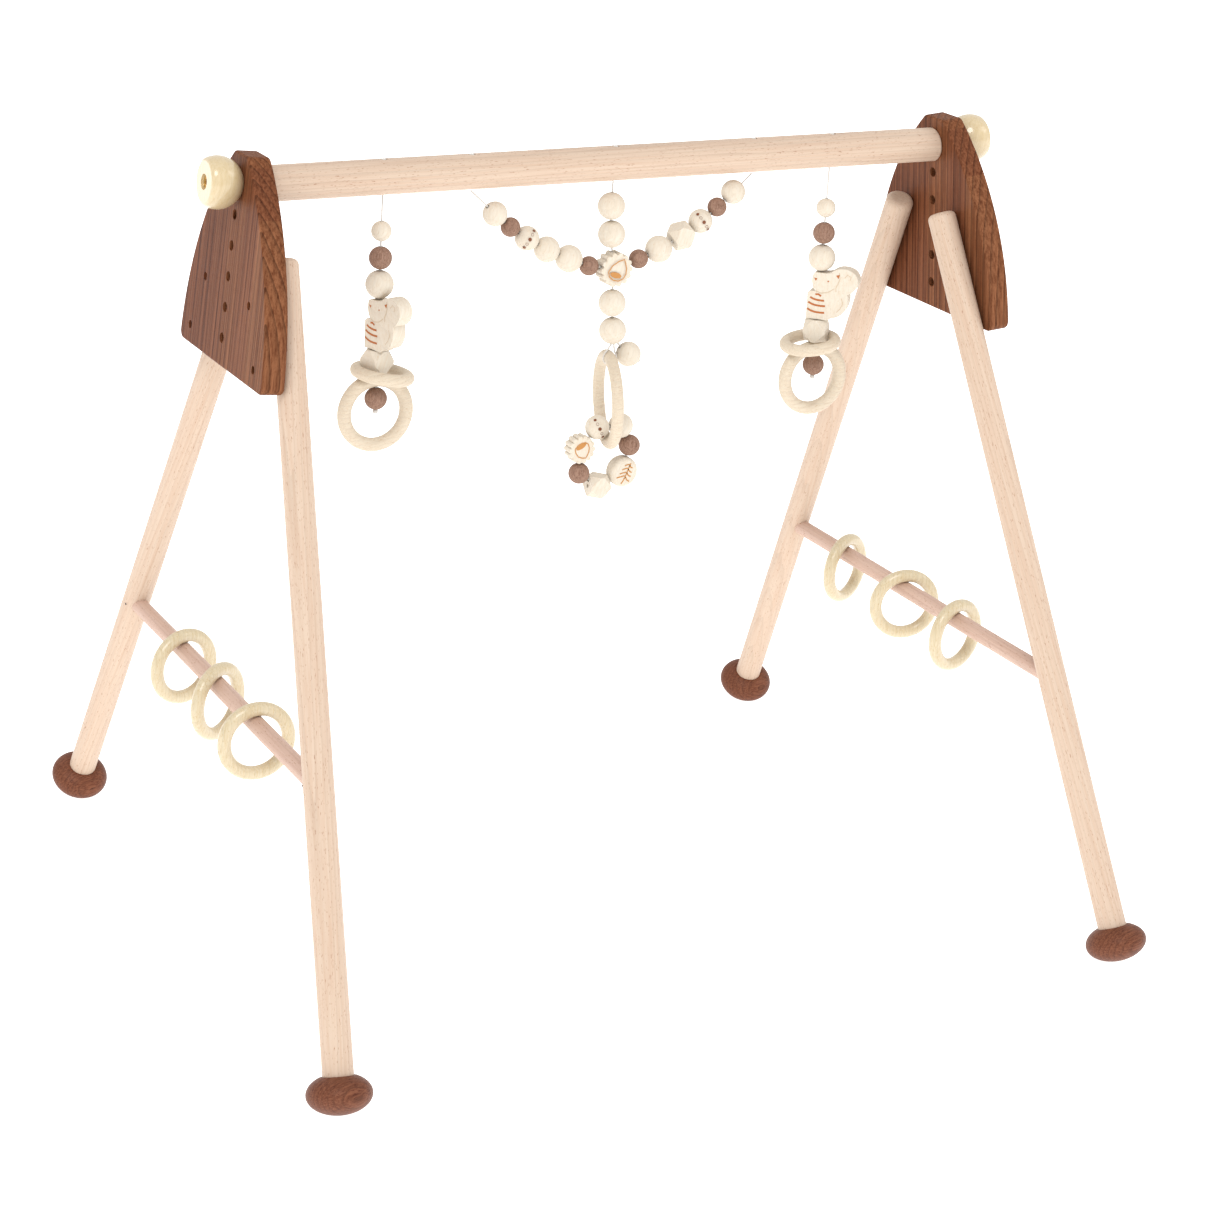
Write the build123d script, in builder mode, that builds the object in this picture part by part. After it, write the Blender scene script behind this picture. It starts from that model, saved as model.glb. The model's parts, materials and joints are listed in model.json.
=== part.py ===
from build123d import *

import math
import os

# Activity play gym. Millimetres, +Z up, bar along X, front at -Y, floor at Z = 0.

# side frames: two planar A-frames that lean outward towards the floor
HALF_SPAN = 257.5
SPLAY = 5.25
PLATE_T = 16.0
PLATE_TOP = 19.5
PLATE_BOTTOM = -121.5
PLATE_TOP_HALF = 11.8
PLATE_MID = (56.4, -40.0)
PLATE_BOTTOM_HALF = 75.5
PLATE_CORNER = 6.0
PLATE_ARRIS = 1.8
HEIGHT_HOLES = 6
HOLE_PITCH = 20.5
HOLE_D = 7.0

# legs, feet and stretchers, placed by (y, v): v is measured along the plate from the bar axis
LEG_D = 20.0
LEG_TOP = (26.0, -43.5)
LEG_FOOT = (257.4, -517.6)
LEG_ROUND = 4.0
FOOT_R = 21.2
FOOT_HALF = 13.2
FOOT_TOP = 11.0
FOOT_BORE_END = -2.0
STRETCHER_D = 12.0
STRETCHER_V = -347.4
PIN_D = 1.5
PIN_LENGTH = 14.0
PIN_INSET = 4.0
SCREW_ALONG = (30.7, 72.4)
SCREW_HEAD_D = 5.6
SCREW_HEAD_DEPTH = 7.0
SCREW_SHANK_D = 3.6
SCREW_REACH = 12.0

# top bar, inserts, knobs
BAR_D = 24.0
BAR_ROUND = 1.6
CORD_HOLES = (-171.7, -108.0, 0.0, 108.0, 171.7)
CORD_HOLE_D = 3.0
KNOT_POCKET_D = 5.4
KNOT_POCKET_DEPTH = 4.0
INSERT_D = 9.0
INSERT_LENGTH = 17.0
BOLT_D = 6.0
BOLT_FIT = 0.1
BOLT_REACH = 15.0
BOLT_HEAD_D = 10.0
BOLT_HEAD_H = 3.5
BOLT_SOCKET = 4.0
KNOB_R = 17.5
KNOB_SEAT = 14.4
KNOB_FACE = 9.0
KNOB_GAP = 0.05
KNOB_RECESS_D = 10.4
KNOB_RECESS_DEPTH = 5.5

# rings
RING_MAJOR = 22.75
RING_MINOR = 4.75
RING_GAP = 0.3
RINGS_LEFT = (("back", 72.4, -15.7), ("mid", 4.7, -32.2), ("front", -67.5, 0.0))
RINGS_RIGHT = (("back", 98.2, -26.2), ("mid", 13.8, 13.8), ("front", -54.7, -16.5))

# hangers, heights below the bar axis on the left one
CORD_D = 1.2
KNOT_R = 1.9
CORD_START = -11.4
BORE_D = 3.0
SMALL_BEAD = (13.7, -36.5)
BROWN_BEAD = (15.6, -54.7)
LARGE_BEAD = (19.2, -72.7)
SQUIRREL_TOP = -82.6
SQUIRREL_T = 11.0
FACET_SIDE = 16.2
FACET_CUT = 1.07
FACET_Z = -125.4
HANGER_RING_Z = -161.4
END_BEAD_D = 15.4
END_BEAD_Z = -151.7
LOOSE_MAJOR = 17.7
LOOSE_MINOR = 4.3
LOOSE_RISE = 26.8
LOOSE_TILT = 9.0
# squirrel outline and belly stripes from the cord hole at its crown, across and up
SQUIRREL_TAIL = ((9.0, 1.2), (13.5, 3.9), (19.5, 4.4), (25.4, 2.0), (28.2, -3.0), (26.4, -9.8), (21.4, -13.8))
SQUIRREL_RUMP = ((21.4, -13.8), (22.0, -20.0), (19.4, -27.4), (14.6, -31.2), (11.0, -32.2))
SQUIRREL_BODY = ((11.0, -32.2), (8.8, -34.0), (-7.2, -34.0), (-7.4, -15.4), (-5.8, -13.9), (-1.6, -13.6))
SQUIRREL_HEAD = ((-1.6, -13.6), (-3.8, -10.4), (-4.8, -6.0), (-4.4, -2.0))
SQUIRREL_CROWN = ((-4.4, -2.0), (-3.4, -0.5), (0.0, 0.0), (4.5, 0.0), (9.0, 1.2))
SQUIRREL_STRIPES = (
    ((-1.4, -15.9), (0.6, -15.8), (2.8, -16.8)),
    ((-5.0, -18.3), (-0.4, -19.8), (5.2, -19.9)),
    ((-6.2, -21.9), (-0.6, -23.8), (6.2, -23.8)),
    ((-6.6, -26.8), (-0.8, -28.8), (6.0, -28.7)),
)
HANGERS = (("left", -171.7, 0.0, -74.0, 1), ("right", 171.7, -4.9, -44.0, -1))

# garland, (x, z below the bar axis, diameter) along the V
GARLAND_Y = -0.8
GARLAND_ENDS = (-108.0, 108.0)
GARLAND_START = -12.8
PALE_LEFT = ((-88.8, -30.0, 17.0), (-48.4, -57.1, 18.0), (-31.1, -64.7, 19.0))
FACE_LEFT = (-63.9, -48.3, 17.0)
BROWN_LEFT = ((-76.8, -39.8, 13.5), (-15.4, -70.8, 13.5))
FLOWER = (4.0, -74.0, 24.4)
BROWN_RIGHT = ((23.0, -68.5, 13.5), (82.6, -35.5, 13.5))
PALE_RIGHT = ((38.4, -62.6, 19.0), (94.7, -25.5, 17.0))
FACET_RIGHT = (55.2, -54.1, 15.4)
FACE_RIGHT = (70.1, -44.7, 17.0)
FLOWER_T = 11.0
PETALS = 14
PETAL_R = 1.9

# centre drop
DROP_Y = 0.8
UPPER_BEADS = ((-0.6, -29.8, 19.0), (0.8, -49.6, 19.0))
DROP_BEADS = ((4.4, -98.5, 19.0), (6.0, -118.4, 19.0))
DROP_TURN = (12.5, -131.8)
SIDE_BEAD = (19.6, -136.4, 17.6)
DROP_END = (27.66, -141.62)
DROP_BORE_D = 5.0
BIG_MINOR = 4.2
BIG_YAW = 15.0
BIG_CROWN = (4.5, -137.3)
BIG_BOTTOM = (7.0, -198.9)
LOOP_R = 5.3
LOOP_TOP = (6.4, -127.3)
LOOP_SPREAD = 0.8
LOOP_Y = -0.9

# bracelet, (x, z, diameter)
WRIST_FACE = (-1.6, -187.9, 17.2)
WRIST_PALE = (17.0, -188.2, 17.4)
WRIST_BROWN = ((24.8, -203.4, 15.2), (-14.0, -220.4, 15.0))
WRIST_TWIG = (19.9, -222.0, 22.0)
WRIST_FACET = (0.9, -230.8, 15.0)
WRIST_FLOWER = (-14.6, -202.1, 20.4)
TWIG_T = 10.0
WRIST_FLOWER_T = 9.5

splay = math.radians(SPLAY)
leg_run = LEG_FOOT[0] - LEG_TOP[0]
leg_fall = LEG_TOP[1] - LEG_FOOT[1]
leg_length = math.hypot(leg_run, leg_fall)
leg_lean = math.atan2(leg_run, leg_fall)
axis_cos = math.cos(leg_lean) * math.cos(splay)
foot_height = math.sqrt((FOOT_R ** 2) * (1 - axis_cos ** 2) + (FOOT_HALF * axis_cos) ** 2)
bar_z = foot_height - LEG_FOOT[1] * math.cos(splay)
stretcher_y = LEG_TOP[0] + (LEG_TOP[1] - STRETCHER_V) * math.tan(leg_lean)
ring_drop = RING_MAJOR - RING_MINOR - STRETCHER_D / 2 - RING_GAP


def frame_point(side, y, v, w):
    """World point of side frame coordinates: y, v up the plate, w outward from its inner face."""
    x = side * (HALF_SPAN + w * math.cos(splay) - v * math.sin(splay))
    return Vector(x, y, bar_z + v * math.cos(splay) + w * math.sin(splay))


def side_plane(side, y=0.0, v=0.0, w=0.0):
    """Plane of a side frame: local x is side * Y, local y up the plate, normal outward."""
    normal = (side * math.cos(splay), 0, math.sin(splay))
    return Plane(origin=frame_point(side, y, v, w), x_dir=(0, side, 0), z_dir=normal)


def leg_axis(side, end):
    """Top point and unit direction, towards the floor, of one leg."""
    top = frame_point(side, end * LEG_TOP[0], LEG_TOP[1], -LEG_D / 2)
    foot = frame_point(side, end * LEG_FOOT[0], LEG_FOOT[1], -LEG_D / 2)
    return top, foot, (foot - top).normalized()


def screw_spot(along):
    """(y, v) of a leg screw measured down the leg from its top."""
    y = LEG_TOP[0] + along * math.sin(leg_lean)
    return y, LEG_TOP[1] - along * math.cos(leg_lean)


def xz(point, y=0.0):
    """World point of an (x, height below the bar axis) pair."""
    return Vector(point[0], y, bar_z + point[1])


def along(first, last, at):
    """Plane at a bead whose normal runs from one neighbour to the next."""
    run = xz(last) - xz(first)
    return Plane(origin=xz(at), x_dir=(0, 1, 0), z_dir=run)


def fillet_radii(points):
    """Corner radii of a cord route: 0.45 of the shorter run over the tangent of half the turn."""
    radii = []
    for before, corner, after in zip(points[:-2], points[1:-1], points[2:]):
        first = corner - before
        second = after - corner
        half_turn = math.radians(first.get_angle(second) / 2)
        radii.append(0.45 * min(first.length, second.length) / math.tan(half_turn))
    print("cord radii", [round(radius, 1) for radius in radii])
    return radii


def bored_ball(x, z, diameter):
    """Ball with a vertical through bore, on a hanger."""
    with Locations((x, 0, z)):
        Sphere(diameter / 2)
        Cylinder(BORE_D / 2, diameter + 2, mode=Mode.SUBTRACT)


def balls(beads):
    """Balls at (x, height, diameter) beads."""
    for bead in beads:
        with Locations(xz(bead)):
            Sphere(bead[2] / 2)


def facet_bead(place, size):
    """Cube with its eight corners cut to triangles."""
    with Locations(place):
        Box(size, size, size)
    slant = size * FACET_CUT / math.sqrt(3)
    for sx in (-1, 1):
        for sy in (-1, 1):
            for sz in (-1, 1):
                normal = place.x_dir * sx + place.y_dir * sy + place.z_dir * sz
                spot = place.origin + normal.normalized() * slant
                split(bisect_by=Plane(origin=spot, z_dir=normal), keep=Keep.BOTTOM)


def flower_disc(face, bores, diameter, thickness):
    """Scalloped disc on a face plane, cut by every bore tool."""
    rim = diameter / 2 - PETAL_R
    with BuildPart() as disc:
        with BuildSketch(face.offset(-thickness / 2)):
            Circle(rim + 0.4)
            with PolarLocations(rim, PETALS):
                Circle(PETAL_R)
        extrude(amount=thickness)
        fillet(disc.faces().filter_by(face).edges(), 0.6)
        add(bores, mode=Mode.SUBTRACT)
    return disc


def swept_cord(points, diameter, name):
    """Round cord, or the bore for one, along straight runs joined by tangent arcs."""
    radii = fillet_radii(points)
    with BuildPart() as cord:
        with BuildLine() as route:
            FilletPolyline(*points, radius=radii)
        with BuildSketch(Plane(origin=points[0], z_dir=points[1] - points[0])):
            Circle(diameter / 2)
        sweep(path=route.line)
    print(name, "length", round(sum(edge.length for edge in route.edges()), 1))
    return cord


def side_plate(side):
    """Tapered board with arc flanks, height holes and leg screw holes."""
    with BuildPart() as plate:
        with BuildSketch(side_plane(side)) as outline:
            with BuildLine():
                Line((-PLATE_TOP_HALF, PLATE_TOP), (PLATE_TOP_HALF, PLATE_TOP))
                ThreePointArc((PLATE_TOP_HALF, PLATE_TOP), PLATE_MID, (PLATE_BOTTOM_HALF, PLATE_BOTTOM))
                Line((PLATE_BOTTOM_HALF, PLATE_BOTTOM), (-PLATE_BOTTOM_HALF, PLATE_BOTTOM))
                left_mid = (-PLATE_MID[0], PLATE_MID[1])
                ThreePointArc((-PLATE_BOTTOM_HALF, PLATE_BOTTOM), left_mid, (-PLATE_TOP_HALF, PLATE_TOP))
            make_face()
            fillet(outline.vertices(), PLATE_CORNER)
        extrude(amount=PLATE_T)
        fillet(plate.faces().filter_by(side_plane(side)).edges(), PLATE_ARRIS)
        with BuildSketch(side_plane(side)):
            with Locations(*[(0, -HOLE_PITCH * k) for k in range(HEIGHT_HOLES)]):
                Circle(HOLE_D / 2)
            for screw in SCREW_ALONG:
                y, v = screw_spot(screw)
                with Locations((-y, v), (y, v)):
                    Circle(SCREW_SHANK_D / 2)
        extrude(amount=PLATE_T, mode=Mode.SUBTRACT)
        with BuildSketch(side_plane(side, w=PLATE_T)):
            for screw in SCREW_ALONG:
                y, v = screw_spot(screw)
                with Locations((-y, v), (y, v)):
                    Circle(SCREW_HEAD_D / 2)
        extrude(amount=-SCREW_HEAD_DEPTH, mode=Mode.SUBTRACT)
    return plate


def leg(side, end):
    """Dowel leg with rounded top, screw pilots, stretcher socket and pin hole."""
    top, foot, down = leg_axis(side, end)
    with BuildPart() as dowel:
        with BuildSketch(Plane(origin=top, z_dir=down)):
            Circle(LEG_D / 2)
        extrude(amount=leg_length - FOOT_BORE_END)
        fillet(dowel.edges().sort_by(Axis.Z)[-1], LEG_ROUND)
        for screw in SCREW_ALONG:
            y, v = screw_spot(screw)
            with BuildSketch(side_plane(side, end * y, v)):
                Circle(SCREW_SHANK_D / 2)
            extrude(amount=-SCREW_REACH, mode=Mode.SUBTRACT)
        socket = frame_point(side, end * stretcher_y, STRETCHER_V, -LEG_D / 2)
        with BuildSketch(Plane(origin=socket, z_dir=(0, -end, 0))):
            Circle(STRETCHER_D / 2)
        extrude(amount=LEG_D, mode=Mode.SUBTRACT)
        pin_y = end * (stretcher_y - PIN_INSET)
        with BuildSketch(side_plane(side, pin_y, STRETCHER_V, 1)):
            Circle(PIN_D / 2)
        extrude(amount=-PIN_LENGTH - 1, mode=Mode.SUBTRACT)
    return dowel


def foot(side, end):
    """Turned bulbous foot, flat on top, bored for the leg."""
    top, centre, down = leg_axis(side, end)
    section = Plane(origin=centre, x_dir=down.cross(Vector(1, 0, 0)), z_dir=down.cross(Vector(1, 0, 0)).cross(-down))
    with BuildPart() as ball:
        with BuildSketch(section) as profile:
            Ellipse(FOOT_R, FOOT_HALF)
            split(bisect_by=Plane.YZ, keep=Keep.TOP)
        revolve(axis=Axis(centre, -down))
        split(bisect_by=Plane(origin=centre - down * FOOT_TOP, z_dir=-down), keep=Keep.BOTTOM)
        with BuildSketch(Plane(origin=centre - down * FOOT_BORE_END, z_dir=-down)):
            Circle(LEG_D / 2)
        extrude(amount=2 * FOOT_TOP, mode=Mode.SUBTRACT)
    return ball


def stretcher(side):
    """Thin dowel between two legs with a pin hole near each end."""
    start = frame_point(side, -stretcher_y, STRETCHER_V, -LEG_D / 2)
    with BuildPart() as rod:
        with BuildSketch(Plane(origin=start, z_dir=(0, 1, 0))):
            Circle(STRETCHER_D / 2)
        extrude(amount=2 * stretcher_y)
        for end in (-1, 1):
            with BuildSketch(side_plane(side, end * (stretcher_y - PIN_INSET), STRETCHER_V)):
                Circle(PIN_D / 2)
            extrude(amount=-PIN_LENGTH, mode=Mode.SUBTRACT)
    return rod


def knob(side):
    """Ball cut flat at the seat and at the face, with a recess for the bolt head."""
    seat = PLATE_T + KNOB_GAP
    with BuildPart() as ball:
        with Locations(side_plane(side, w=seat + KNOB_SEAT)):
            Sphere(KNOB_R)
        split(bisect_by=side_plane(side, w=seat), keep=Keep.TOP)
        split(bisect_by=side_plane(side, w=seat + KNOB_SEAT + KNOB_FACE), keep=Keep.BOTTOM)
        flats = ball.faces().filter_by(GeomType.PLANE).sort_by(Axis.X)
        outer = flats[-1] if side > 0 else flats[0]
        fillet(outer.edges(), 3.0)
        with BuildSketch(side_plane(side, w=seat + KNOB_SEAT + KNOB_FACE)):
            Circle(KNOB_RECESS_D / 2)
        extrude(amount=-KNOB_RECESS_DEPTH, mode=Mode.SUBTRACT)
        with BuildSketch(side_plane(side)):
            Circle(BOLT_D / 2)
        extrude(amount=60, mode=Mode.SUBTRACT)
    return ball


def knob_bolt(side):
    """Headed bolt through knob and plate into the bar's insert."""
    shoulder = PLATE_T + KNOB_GAP + KNOB_SEAT + KNOB_FACE - KNOB_RECESS_DEPTH
    with BuildPart() as bolt:
        with BuildSketch(side_plane(side, w=-BOLT_REACH)):
            Circle(BOLT_D / 2)
        extrude(amount=shoulder + BOLT_REACH)
        with BuildSketch(side_plane(side, w=shoulder)):
            Circle(BOLT_HEAD_D / 2)
        extrude(amount=BOLT_HEAD_H)
        with BuildSketch(side_plane(side, w=shoulder + BOLT_HEAD_H)):
            RegularPolygon(BOLT_SOCKET / 2, 6, major_radius=False)
        extrude(amount=-2, mode=Mode.SUBTRACT)
    return bolt


def stretcher_ring(side, y, yaw):
    """Turned ring hanging on a stretcher, yawed about the vertical."""
    axle = frame_point(side, y, STRETCHER_V, -LEG_D / 2)
    turn = math.radians(yaw)
    with BuildPart() as ring:
        with Locations(Plane(origin=axle - Vector(0, 0, ring_drop), z_dir=(math.sin(turn), math.cos(turn), 0))):
            Torus(RING_MAJOR, RING_MINOR)
    return ring


def squirrel(x, top, facing):
    """Sawn squirrel block on the cord, engraved with belly stripes, facing a compass angle."""
    turn = math.radians(facing)
    outward = (math.sin(turn), -math.cos(turn), 0)
    face = Plane(origin=(x, 0, top), x_dir=(math.cos(turn), math.sin(turn), 0), z_dir=outward)
    with BuildPart() as block:
        with BuildSketch(face.offset(-SQUIRREL_T / 2)):
            with BuildLine():
                Spline(*SQUIRREL_TAIL)
                Spline(*SQUIRREL_RUMP)
                Polyline(*SQUIRREL_BODY)
                Spline(*SQUIRREL_HEAD)
                Spline(*SQUIRREL_CROWN)
            make_face()
        extrude(amount=SQUIRREL_T)
        with BuildSketch(face.offset(SQUIRREL_T / 2)):
            with BuildLine():
                for stripe in SQUIRREL_STRIPES:
                    ThreePointArc(*stripe)
            trace(line_width=0.9)
        extrude(amount=-0.5, mode=Mode.SUBTRACT)
        with Locations((x, 0, top - 18)):
            Cylinder(BORE_D / 2, 44, mode=Mode.SUBTRACT)
    return block


os.makedirs("parts", exist_ok=True)


def save(builder, name):
    """Label a finished part and write it."""
    builder.part.label = name
    export_step(builder.part, f"parts/{name}.step")


SIDES = (("left", -1), ("right", 1))
ENDS = (("front", -1), ("back", 1))

# --- frame -----------------------------------------------------------------------------
for word, side in SIDES:
    save(side_plate(side), f"side_plate_{word}")
    save(stretcher(side), f"stretcher_{word}")
    save(knob(side), f"knob_{word}")
    save(knob_bolt(side), f"knob_bolt_{word}")
    for end_word, end in ENDS:
        save(leg(side, end), f"leg_{end_word}_{word}")
        save(foot(side, end), f"foot_{end_word}_{word}")

with BuildPart() as top_bar:
    with BuildSketch(Plane(origin=(-HALF_SPAN - 5, 0, bar_z), z_dir=(1, 0, 0))):
        Circle(BAR_D / 2)
    extrude(amount=2 * HALF_SPAN + 10)
    for word, side in SIDES:
        split(bisect_by=side_plane(side), keep=Keep.BOTTOM)
    fillet(top_bar.faces().filter_by(GeomType.PLANE).edges(), BAR_ROUND)
    for word, side in SIDES:
        with BuildSketch(side_plane(side)):
            Circle(INSERT_D / 2)
        extrude(amount=-INSERT_LENGTH, mode=Mode.SUBTRACT)
    with Locations(*[(x, 0, bar_z) for x in CORD_HOLES]):
        Cylinder(CORD_HOLE_D / 2, BAR_D + 4, mode=Mode.SUBTRACT)
    with Locations(*[(x, 0, bar_z + BAR_D / 2 - KNOT_POCKET_DEPTH + 5) for x in CORD_HOLES]):
        Cylinder(KNOT_POCKET_D / 2, 10, mode=Mode.SUBTRACT)
save(top_bar, "top_bar")

with BuildPart() as bar_inserts:
    for word, side in SIDES:
        with BuildSketch(side_plane(side)):
            Circle(INSERT_D / 2)
            Circle(BOLT_D / 2 + BOLT_FIT / 2, mode=Mode.SUBTRACT)
        extrude(amount=-INSERT_LENGTH)
save(bar_inserts, "bar_inserts")

with BuildPart() as frame_screws:
    for word, side in SIDES:
        for end_word, end in ENDS:
            for screw in SCREW_ALONG:
                y, v = screw_spot(screw)
                with BuildSketch(side_plane(side, end * y, v, -SCREW_REACH)):
                    Circle(SCREW_SHANK_D / 2)
                extrude(amount=SCREW_REACH + PLATE_T - SCREW_HEAD_DEPTH)
                with BuildSketch(side_plane(side, end * y, v, PLATE_T - SCREW_HEAD_DEPTH)):
                    Circle(SCREW_HEAD_D / 2)
                extrude(amount=3)
            with BuildSketch(side_plane(side, end * (stretcher_y - PIN_INSET), STRETCHER_V, -0.4)):
                Circle(PIN_D / 2)
            extrude(amount=0.4 - PIN_LENGTH)
save(frame_screws, "frame_screws")

with BuildPart() as bar_knots:
    for x in CORD_HOLES:
        with Locations((x, 0, bar_z + BAR_D / 2 - KNOT_POCKET_DEPTH + 2.2)):
            Sphere(2.2)
        with Locations((x, 0, bar_z - 2)):
            Cylinder(CORD_D / 2, 2 * (-CORD_START) - 4.8)
save(bar_knots, "bar_knots")

# --- rings on the stretchers -------------------------------------------------------------
for word, y, yaw in RINGS_LEFT:
    save(stretcher_ring(-1, y, yaw), f"ring_left_{word}")
for word, y, yaw in RINGS_RIGHT:
    save(stretcher_ring(1, y, yaw), f"ring_right_{word}")

# --- hangers -------------------------------------------------------------------------------
for word, x, lower, facing, tilt_side in HANGERS:
    base = bar_z + lower
    cord_top = bar_z + CORD_START
    cord_bottom = base + END_BEAD_Z - END_BEAD_D / 2 - 1.3
    with BuildPart() as hanger_cord:
        with Locations((x, 0, (cord_top + cord_bottom) / 2)):
            Cylinder(CORD_D / 2, cord_top - cord_bottom)
        with Locations((x, 0, cord_bottom)):
            Sphere(KNOT_R)
    print("hanger", word, "cord length", round(cord_top - cord_bottom, 1))
    save(hanger_cord, f"hanger_cord_{word}")

    with BuildPart() as pale_beads:
        bored_ball(x, base + SMALL_BEAD[1], SMALL_BEAD[0])
        bored_ball(x, base + LARGE_BEAD[1], LARGE_BEAD[0])
    save(pale_beads, f"hanger_pale_beads_{word}")

    with BuildPart() as brown_bead:
        bored_ball(x, base + BROWN_BEAD[1], BROWN_BEAD[0])
    save(brown_bead, f"hanger_brown_bead_{word}")

    save(squirrel(x, base + SQUIRREL_TOP, facing), f"squirrel_{word}")

    facet_turn = math.radians(facing)
    facet_across = (math.cos(facet_turn), math.sin(facet_turn), 0)
    with BuildPart() as facet:
        facet_bead(Plane(origin=(x, 0, base + FACET_Z), x_dir=facet_across), FACET_SIDE)
        with Locations((x, 0, base + FACET_Z)):
            Cylinder(BORE_D / 2, FACET_SIDE + 2, mode=Mode.SUBTRACT)
    save(facet, f"hanger_facet_bead_{word}")

    ring_centre = Vector(x, 0, base + HANGER_RING_Z)
    with BuildPart() as hanger_ring:
        with Locations(Plane(origin=ring_centre, z_dir=(0, 1, 0))):
            Torus(RING_MAJOR, RING_MINOR)
        with Locations(ring_centre + Vector(0, 0, RING_MAJOR)):
            Cylinder(BORE_D / 2, 4 * RING_MINOR, mode=Mode.SUBTRACT)
    save(hanger_ring, f"hanger_ring_{word}")

    with BuildPart() as end_bead:
        bored_ball(x, base + END_BEAD_Z, END_BEAD_D)
    save(end_bead, f"hanger_end_bead_{word}")

    tilt = math.radians(tilt_side * LOOSE_TILT)
    loose_normal = Vector(math.sin(tilt), 0, math.cos(tilt))
    with BuildPart() as loose_ring:
        with Locations(Plane(origin=ring_centre + loose_normal * LOOSE_RISE, z_dir=loose_normal)):
            Torus(LOOSE_MAJOR, LOOSE_MINOR)
    save(loose_ring, f"loose_ring_{word}")

# --- garland -------------------------------------------------------------------------------
garland_left = [PALE_LEFT[0], BROWN_LEFT[0], FACE_LEFT, PALE_LEFT[1], PALE_LEFT[2], BROWN_LEFT[1]]
garland_right = [BROWN_RIGHT[0], PALE_RIGHT[0], FACET_RIGHT, FACE_RIGHT, BROWN_RIGHT[1], PALE_RIGHT[1]]
garland_first = (GARLAND_ENDS[0], GARLAND_START)
garland_last = (GARLAND_ENDS[1], GARLAND_START)
garland = [garland_first, *garland_left, FLOWER, *garland_right, garland_last]
garland_route = [xz(bead, GARLAND_Y) for bead in garland]
drop_first = (0.0, GARLAND_START)
drop = [drop_first, *UPPER_BEADS, FLOWER, *DROP_BEADS, DROP_TURN, DROP_END]
drop_route = [xz(bead, DROP_Y) for bead in drop]

save(swept_cord(garland_route, CORD_D, "garland cord"), "garland_cord")
garland_bore = swept_cord(garland_route, BORE_D, "garland bore").part
drop_bore = swept_cord(drop_route, BORE_D, "drop bore").part

with BuildPart() as garland_pale_beads:
    balls(PALE_LEFT + PALE_RIGHT)
    add(garland_bore, mode=Mode.SUBTRACT)
save(garland_pale_beads, "garland_pale_beads")

with BuildPart() as garland_brown_beads:
    balls(BROWN_LEFT + BROWN_RIGHT)
    add(garland_bore, mode=Mode.SUBTRACT)
save(garland_brown_beads, "garland_brown_beads")

with BuildPart() as garland_face_beads:
    balls((FACE_LEFT, FACE_RIGHT))
    add(garland_bore, mode=Mode.SUBTRACT)
save(garland_face_beads, "garland_face_beads")

with BuildPart() as garland_facet_bead:
    facet_bead(along(PALE_RIGHT[0], FACE_RIGHT, FACET_RIGHT), FACET_RIGHT[2])
    add(garland_bore, mode=Mode.SUBTRACT)
save(garland_facet_bead, "garland_facet_bead")

flower_face = Plane(origin=xz(FLOWER), x_dir=(1, 0, 0), z_dir=(0, -1, 0))
save(flower_disc(flower_face, [garland_bore, drop_bore], FLOWER[2], FLOWER_T), "flower_disc")

# --- centre drop -----------------------------------------------------------------------------
with BuildPart() as centre_cord:
    add(swept_cord(drop_route, CORD_D, "centre cord").part)
    with Locations(drop_route[-1]):
        Sphere(KNOT_R)
save(centre_cord, "centre_cord")

with BuildPart() as centre_upper_beads:
    balls(UPPER_BEADS)
    add(drop_bore, mode=Mode.SUBTRACT)
save(centre_upper_beads, "centre_upper_beads")

with BuildPart() as drop_beads:
    balls(DROP_BEADS + (SIDE_BEAD,))
    add(drop_bore, mode=Mode.SUBTRACT)
    with Locations(xz(DROP_BEADS[1])):
        with Locations((0.6, 0, -DROP_BEADS[1][2] / 2)):
            Cylinder(DROP_BORE_D / 2, DROP_BEADS[1][2], mode=Mode.SUBTRACT)
save(drop_beads, "drop_beads")

big_yaw = math.radians(BIG_YAW)
big_across = xz(BIG_CROWN) - xz(BIG_BOTTOM)
big_lean = -big_across.X * math.cos(big_yaw) / big_across.Z
big_normal = Vector(math.cos(big_yaw), -math.sin(big_yaw), big_lean)
with BuildPart() as centre_ring:
    with Locations(Plane(origin=xz(BIG_BOTTOM) + big_across / 2, z_dir=big_normal)):
        Torus(big_across.length / 2, BIG_MINOR)
save(centre_ring, "centre_ring")

# loop round the ring's crown: two straight runs tangent to the lower arc
rise = LOOP_TOP[1] - BIG_CROWN[1]
reach = [LOOP_TOP[0] - LOOP_SPREAD - BIG_CROWN[0], LOOP_TOP[0] + LOOP_SPREAD - BIG_CROWN[0]]
tangent = []
for offset, turn_side in zip(reach, (1, -1)):
    span = math.hypot(offset, rise)
    angle = math.atan2(rise, offset) + turn_side * math.acos(LOOP_R / span)
    tangent.append((BIG_CROWN[0] + LOOP_R * math.cos(angle), BIG_CROWN[1] + LOOP_R * math.sin(angle)))
loop_start = xz((LOOP_TOP[0] - LOOP_SPREAD, LOOP_TOP[1]), LOOP_Y)
loop_end = xz((LOOP_TOP[0] + LOOP_SPREAD, LOOP_TOP[1]), LOOP_Y)
loop_low = xz((BIG_CROWN[0], BIG_CROWN[1] - LOOP_R), LOOP_Y)
loop_left = xz(tangent[0], LOOP_Y)
loop_right = xz(tangent[1], LOOP_Y)
with BuildPart() as ring_loop:
    with BuildLine() as loop_route:
        Line(loop_start, loop_left)
        ThreePointArc(loop_left, loop_low, loop_right)
        Line(loop_right, loop_end)
    with BuildSketch(Plane(origin=loop_start, z_dir=loop_left - loop_start)):
        Circle(CORD_D / 2)
    sweep(path=loop_route.line)
print("ring loop length", round(sum(edge.length for edge in loop_route.edges()), 1), tangent)
save(ring_loop, "ring_loop")

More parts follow.
